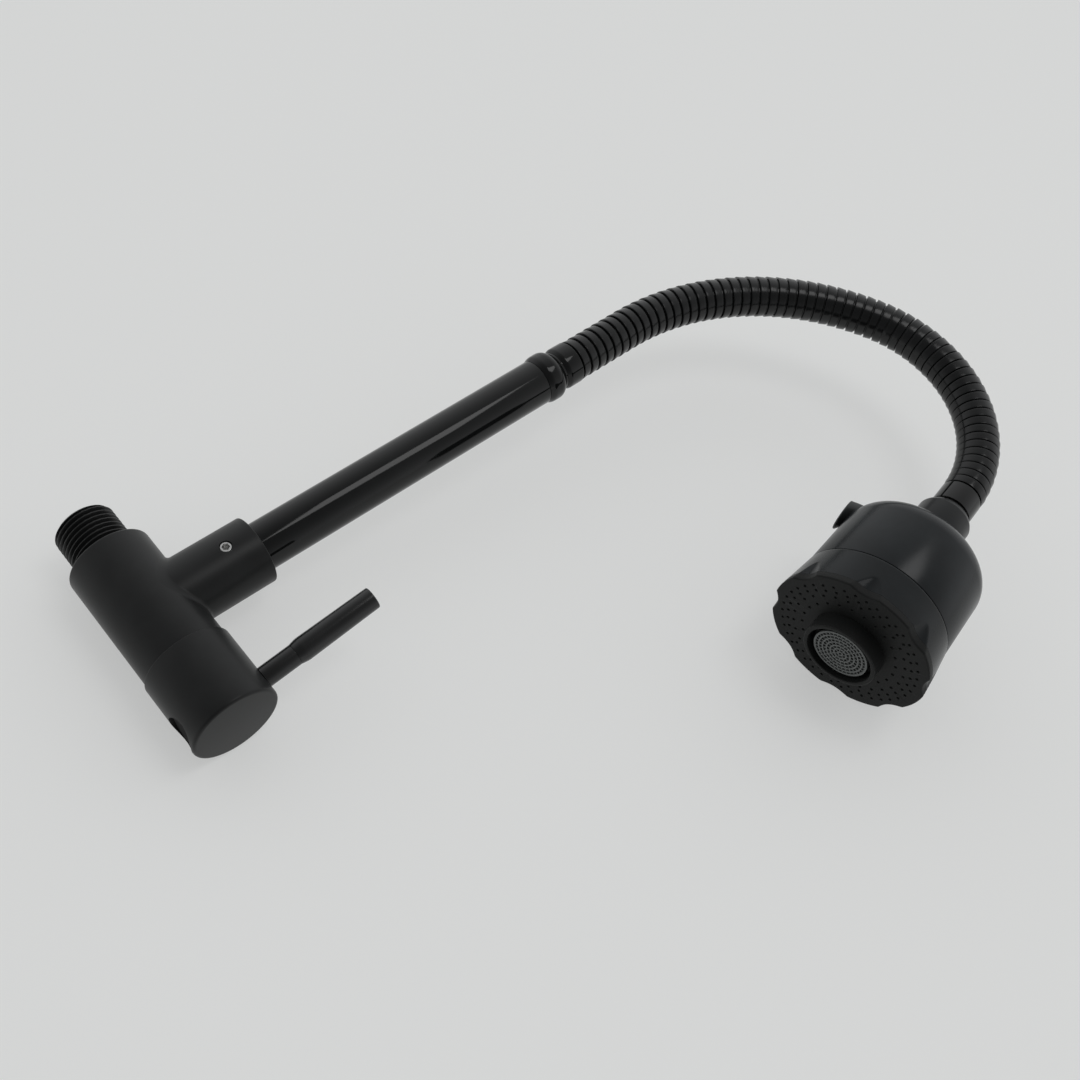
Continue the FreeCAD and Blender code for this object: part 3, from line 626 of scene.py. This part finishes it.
def nozzle_cutter():
    """Funnel-shaped cutter for each nozzle hole, in rings about the aerator."""
    rows = [(17.4, 24, 0.0), (20.7, 28, 0.5), (23.0, 36, 0.0), (25.2, 40, 0.5)]
    mouth, throat, hole = 0.62, 0.42, 0.38
    outside, throat_depth, depth = -1, 0.3, 1.4
    funnel = turned_rings(plain, [
        (0, outside), (mouth, outside), (mouth, 0.0), (throat, throat_depth), (hole, depth), (0, depth)], around=8)
    holes = []
    for radius, count, shift in rows:
        turn = (np.arange(count) + shift) * FULL_TURN / count
        for x, y in zip(radius * np.cos(turn), radius * np.sin(turn)):
            holes.append(ring_part(head.lay(funnel + np.array([x, y, 0])), False))
    return joined("nozzle_cutter", holes)


def face_piece():
    """Spray face: flat, with an eased fluted rim and staggered rings of nozzle holes."""
    around, bore, flat_start = 320, 13.0, 16.2
    heights = [0.0, 0.0, 0.04, 0.13, 0.28, 0.5, 0.8, 1.6, face_thickness]
    drawn_in = [0.9, 0.66, 0.4, 0.21, 0.09, 0.02, 0, 0, 0]
    rim = fluted_rings(heights, around, drawn_in)
    inner = turned_rings(plain, [(bore, face_thickness), (bore, 0.0), (flat_start, 0.0)], around)
    plate = swept("spray_face", head.lay(np.concatenate([rim, inner])), True, sharp=FLUTE_EDGE_ANGLE)
    return carved(plate, [nozzle_cutter()], sharp=FLUTE_EDGE_ANGLE)


def ring_piece():
    """Grip ring: fluted outside, plain inside, eased at its top edge."""
    around, steps, bore, seam = 320, 40, 25.0, 0.05
    start = face_thickness + seam
    heights = np.concatenate([np.linspace(start, ring_top - 0.5, steps),
                              [ring_top - 0.2, ring_top - 0.05, ring_top]])
    drawn_in = np.concatenate([np.zeros(steps), [0.07, 0.2, 0.4]])
    outer = fluted_rings(heights, around, drawn_in)
    inner = turned_rings(plain, [(bore, ring_top), (bore, start)], around)
    return swept("grip_band", head.lay(np.concatenate([outer, inner])), True, sharp=FLUTE_EDGE_ANGLE)


def slot_cutter():
    """Cutter of the knob's slot: a round-ended outline across the head, run outwards from the pivot."""
    half, middle, top, start, end, steps = 5.5, 44.4, 58.0, 15.6, 32.0, 25
    angle = np.linspace(math.pi, FULL_TURN, steps)
    outline = np.concatenate([np.stack([half * np.cos(angle), middle + half * np.sin(angle)], axis=-1),
                              [(half, top), (-half, top)]])
    x, z, depth = pressed(outline, (0.0, middle), start, end)
    return swept("slot_cutter", head.lay(np.stack([x, depth, z], axis=-1)), False)


def housing_piece():
    """Housing: a slight taper, a round shoulder and a cone up to the neck hole, with the slot of the knob."""
    seam, side_foot, wall_foot = 16.6, 27.05, 24.9
    neck_bore, neck_top, neck_foot = 10.35, 55.1, 51.8
    shoulder = arc(9.04, first=91.6, last=32.4, steps=20, centre=(17.56, 40.26))
    side = [(side_foot, seam), (27.2, seam + 0.05), (27.28, seam + 0.25)]
    crown = eased([(22.4, 47.9, 0), (12.0, neck_top, 0.5), (neck_bore, neck_top, 0.15), (neck_bore, neck_foot, 0)])
    inner = [(20.6, 46.9), (24.2, 39.0), (wall_foot, seam)]
    dome = turned("housing_dome", head, np.concatenate([side, shoulder, crown[1:], inner]), around=192)
    return carved(dome, [slot_cutter()])


def collar_piece():
    """Raised collar round the aerator: a thin wall with an eased rim."""
    rim, root, bore, rim_bore, shoulder = -collar_height, 12.9, 11.5, 11.8, -0.05
    return turned("aerator_collar", head, eased([
        (bore, face_thickness, 0), (rim_bore, rim, 0.35), (collar_radius, rim, 0.5), (collar_radius, shoulder, 0),
        (root, shoulder, 0), (root, face_thickness, 0)]), around=128)


def grid_piece():
    """Aerator insert: ring walls (turned rectangles) and short radial walls (boxes spun about the axis)."""
    hub, step, wall, last_wall, spoke, low, spoke_low, high = 0.8, 1.46, 0.27, 0.36, 0.17, -5.2, -5.12, -4.1
    around = 72
    rows = (7, 12, 18, 24, 30, 36)
    parts = []
    for row in range(len(rows) + 1):
        middle = hub + row * step
        half = wall if row < len(rows) else last_wall
        parts.append(ring_part(turned_rings(head, [
            (middle - half, high), (middle - half, low), (middle + half, low), (middle + half, high)], around), True))
    box_faces = np.array([(0, 1, 3, 2), (4, 6, 7, 5), (0, 4, 5, 1), (2, 3, 7, 6), (0, 2, 6, 4), (1, 5, 7, 3)])
    for row, count in enumerate(rows):
        start = hub + row * step
        corner = np.array([(x, y, z) for x in (start, start + step) for y in (-spoke, spoke)
                           for z in (spoke_low, high)])
        for turn in (np.arange(count) + 0.5 * (row % 2)) * FULL_TURN / count:
            spun = np.stack([corner[:, 0] * math.cos(turn) - corner[:, 1] * math.sin(turn),
                             corner[:, 0] * math.sin(turn) + corner[:, 1] * math.cos(turn), corner[:, 2]], axis=-1)
            parts.append((head.lay(spun), box_faces))
    return joined("aerator_grid_face", parts)


def cup_piece():
    """Dark cup that holds the grid: a floor, and a wall whose outside leaves a groove inside the collar."""
    inner, outer, flange, rim, floor, ledge, foot = 9.3, 9.95, 11.5, -4.2, -2.4, -1.6, -0.8
    return turned("aerator_cup", head, eased([
        (0, floor, 0), (inner, floor, 0), (inner, rim, 0.1), (outer, rim, 0.1), (outer, ledge, 0), (flange, ledge, 0),
        (flange, foot, 0), (0, foot, 0)]), around=96)


def knob_body():
    """Body of the mode knob: rings across the radial direction of the head.

    Up to the neck, radius and shift run straight. Beyond it both grow as s ^ flare, s from 0 at the neck to 1
    at the end, so that the underside is hollow. Ring point = (radius cos a, shift + radius sin a, reach).
    """
    foot_radius, neck_radius, end_radius = 3.2, 4.0, 5.9
    neck_reach, end_reach, full_reach = 7.2, 12.35, 12.9
    rise, drop, dish, flare = -2.7, 1.0, 0.35, 1.6
    around, lower_steps, upper_steps = 72, 6, 14
    lower = np.linspace(0, 1, lower_steps)[:, None] * np.array([neck_radius - foot_radius, rise, neck_reach])
    lower = lower + np.array([foot_radius, 0, 0])
    s = np.linspace(0, 1, upper_steps)[1:, None]
    upper = np.concatenate([neck_radius + (end_radius - neck_radius) * s ** flare,
                            rise + (drop - rise) * s ** flare,
                            neck_reach + (end_reach - neck_reach) * s], axis=1)
    edge = np.array([(end_radius, drop, full_reach - 0.2), (end_radius - 0.2, drop, full_reach),
                     (end_radius - 0.6, drop, full_reach), (end_radius - 1.6, drop, full_reach - dish),
                     (0, drop, full_reach - dish)])
    stations = np.concatenate([[(0, 0, 0)], lower, upper, edge])
    angle = np.linspace(0, FULL_TURN, around, endpoint=False)
    radius, shift, reach = (stations[:, i:i + 1] for i in range(3))
    return knob.lay(np.stack([radius * np.cos(angle), shift + radius * np.sin(angle), reach + 0 * angle], axis=-1))


def knob_root():
    """Root of the mode knob: a short bar across the head on the knob's pivot."""
    radius, half_width = 3.7, 4.0
    across = Place(knob.origin, head.z, X_AXIS)
    return turned_rings(across, [(0, -half_width), (radius, -half_width), (radius, half_width), (0, half_width)],
                        around=48)


def knob_guard():
    """Guard of the mode knob: an arc about its pivot that closes the slot, run across the slot's width."""
    radius, half_width, middle = 6.5, 4.9, (2.0, 0.0)
    shield = arc(radius, first=140, last=26, steps=33)
    outline = np.concatenate([shield, [(1.75, 3.8), (0, 3), (0, -2)]]) * (1, -1)
    reach, shift, side = pressed(outline, middle, -half_width, half_width)
    return knob.lay(np.stack([side, shift, reach], axis=-1))


def knob_piece():
    """Mode knob: its body, its root and its guard."""
    return joined("mode_toggle", [ring_part(rings, False) for rings in (knob_body(), knob_root(), knob_guard())])


dress(face_piece(), "head", "face_black", face_black, "face_plate")
# The grip ring's finish is a darker copy of the housing's, as painted shade.
dress(ring_piece(), "head", "head_black", ring_black_painted_darker, "grip_ring")
dress(housing_piece(), "head", "head_black", housing_black, "housing")
dress(collar_piece(), "head", "face_black", face_black, "aerator_sleeve")
dress(grid_piece(), "head", "aerator_grey", aerator_grey, "aerator_grid")
dress(cup_piece(), "head", "face_black", face_black, "aerator_grid")
# The knob's finish is made lighter as painted light for its shaded underside.
dress(knob_piece(), "knob", "head_black", knob_black_painted_lighter, "mode_knob")


# ---- finishes of the pieces that keep their own mesh ----

inner_finishes = {
    "valve_cartridge": brass_finish, "spindle": brass_finish, "spout_foot": brass_finish,
    "fixed_disc": ceramic_finish, "moving_disc": ceramic_finish,
    "spout_seal": rubber_finish, "ball_seal": rubber_finish, "water_core": core_black,
}
for node, material in inner_finishes.items():
    coat(bpy.data.objects[node], material)


# ---- table, light and camera ----

background_tone = (0.655, 0.66, 0.655, 1)
camera_place = np.array([-375.15, -236.97, -69.23])
camera_right = np.array([-0.103542, -0.644685, 0.757404])
camera_down = np.array([0.538089, -0.676745, -0.502470])
camera_forward = np.array([0.836504, 0.355524, 0.416969])
lens_length = 44.0
sensor_width = 36.0


def table_material():
    """Pale matt table, seen only from the side on which the tap lies.

    Its diffuse paint takes the tap's shadow. A glow of its own, for the camera and for gloss alone, brings it
    up to the background's tone.
    """
    glow, paint_tone = 0.435, (0.45, 0.455, 0.45, 1)
    material = bpy.data.materials.new("pale table")
    material.use_nodes = True
    nodes = material.node_tree.nodes
    links = material.node_tree.links
    nodes.clear()
    out = nodes.new("ShaderNodeOutputMaterial")
    paint = nodes.new("ShaderNodeBsdfDiffuse")
    paint.inputs["Color"].default_value = paint_tone
    light = nodes.new("ShaderNodeEmission")
    light.inputs["Color"].default_value = background_tone
    ray = nodes.new("ShaderNodeLightPath")
    seen = nodes.new("ShaderNodeMath")
    seen.operation = "MAXIMUM"
    level = nodes.new("ShaderNodeMath")
    level.operation = "MULTIPLY"
    level.inputs[1].default_value = glow / background_tone[1]
    links.new(ray.outputs["Is Camera Ray"], seen.inputs[0])
    links.new(ray.outputs["Is Glossy Ray"], seen.inputs[1])
    links.new(seen.outputs["Value"], level.inputs[0])
    links.new(level.outputs["Value"], light.inputs["Strength"])
    both = nodes.new("ShaderNodeAddShader")
    links.new(paint.outputs["BSDF"], both.inputs[0])
    links.new(light.outputs["Emission"], both.inputs[1])
    clear = nodes.new("ShaderNodeBsdfTransparent")
    side = nodes.new("ShaderNodeNewGeometry")
    choose = nodes.new("ShaderNodeMixShader")
    links.new(side.outputs["Backfacing"], choose.inputs["Fac"])
    links.new(both.outputs["Shader"], choose.inputs[1])
    links.new(clear.outputs["BSDF"], choose.inputs[2])
    links.new(choose.outputs["Shader"], out.inputs["Surface"])
    return material


def table():
    """Flat table touching the body's cap and the rim of the head on their +X side."""
    cap_touch, head_touch, run, half_size = 15.4, 29.6, 175.0, 4000.0
    lean = math.atan2(head_touch - cap_touch, run)
    normal = np.array([-math.cos(lean), 0, math.sin(lean)])
    touch = np.array([cap_touch, -lever_station, 0.0])
    along = np.array([0.0, 1.0, 0.0])
    up = np.cross(normal, along)
    corners = np.array([touch + half_size * (a * along + b * up) for a, b in ((-1, -1), (1, -1), (1, 1), (-1, 1))])
    mesh = bpy.data.meshes.new("table_top")
    mesh.from_pydata((corners * MM).tolist(), [], [(0, 1, 2, 3)])
    mesh.update()
    if np.dot(np.array(mesh.polygons[0].normal), normal) < 0:
        mesh.flip_normals()
    board = bpy.data.objects.new("table_top", mesh)
    bpy.context.scene.collection.objects.link(board)
    mesh.materials.append(table_material())


def aimed(thing, place, right, up, back):
    """Set an object's place in millimetres and its three directions."""
    turn = np.eye(4)
    turn[:3, 0], turn[:3, 1], turn[:3, 2], turn[:3, 3] = right, up, back, np.array(place) * MM
    thing.matrix_world = Matrix(turn.tolist())


def photo_camera():
    """Camera at the place and angle that a fit to the object's outlines gave."""
    lens = bpy.data.cameras.new("photo_view")
    lens.sensor_width = sensor_width
    lens.lens = lens_length
    lens.clip_end = 50.0
    eye = bpy.data.objects.new("photo_view", lens)
    bpy.context.scene.collection.objects.link(eye)
    aimed(eye, camera_place, camera_right, -camera_down, -camera_forward)
    bpy.context.scene.camera = eye


def soft_panel(name, direction, distance, width, height, level):
    """Large soft lamp seen from the tap's middle in a direction; its level is the radiance of its surface."""
    middle = np.array([0.0, -80.0, 150.0])
    lamp = bpy.data.lights.new(name, "AREA")
    lamp.shape = "RECTANGLE"
    lamp.size = width * MM
    lamp.size_y = height * MM
    lamp.energy = level * math.pi * width * height * MM * MM
    holder = bpy.data.objects.new(name, lamp)
    holder.visible_camera = False
    bpy.context.scene.collection.objects.link(holder)
    back = np.array(direction, float)
    back /= np.linalg.norm(back)
    right = np.cross(-camera_down, back)
    right /= np.linalg.norm(right)
    aimed(holder, middle + distance * back, right, np.cross(back, right), back)


def room_world():
    """World: one pale tone for the camera, and for other rays a soft room that is dim behind the camera.

    Level = smooth step from the far level to the near level of the cosine of the angle to the camera.
    """
    near_level, far_level, start, room_tone = 0.16, 0.85, -0.1, (0.98, 0.99, 1.0, 1)
    world = bpy.data.worlds.new("studio")
    world.use_nodes = True
    nodes = world.node_tree.nodes
    links = world.node_tree.links
    nodes.clear()
    out = nodes.new("ShaderNodeOutputWorld")
    room = nodes.new("ShaderNodeBackground")
    room.inputs["Color"].default_value = room_tone
    backdrop = nodes.new("ShaderNodeBackground")
    backdrop.inputs["Color"].default_value = background_tone
    where = nodes.new("ShaderNodeTexCoord")
    cosine = nodes.new("ShaderNodeVectorMath")
    cosine.operation = "DOT_PRODUCT"
    cosine.inputs[1].default_value = (-camera_forward).tolist()
    level = nodes.new("ShaderNodeMapRange")
    level.interpolation_type = "SMOOTHSTEP"
    level.inputs["From Min"].default_value = start
    level.inputs["From Max"].default_value = 1.0
    level.inputs["To Min"].default_value = far_level
    level.inputs["To Max"].default_value = near_level
    ray = nodes.new("ShaderNodeLightPath")
    choose = nodes.new("ShaderNodeMixShader")
    links.new(where.outputs["Generated"], cosine.inputs[0])
    links.new(cosine.outputs["Value"], level.inputs["Value"])
    links.new(level.outputs["Result"], room.inputs["Strength"])
    links.new(ray.outputs["Is Camera Ray"], choose.inputs["Fac"])
    links.new(room.outputs["Background"], choose.inputs[1])
    links.new(backdrop.outputs["Background"], choose.inputs[2])
    links.new(choose.outputs["Shader"], out.inputs["Surface"])
    bpy.context.scene.world = world


table()
photo_camera()
soft_panel("ceiling_panel", (-0.94, -0.15, 0.33), distance=1500, width=640, height=500, level=2.4)
room_world()
bpy.context.scene.view_settings.view_transform = "Standard"
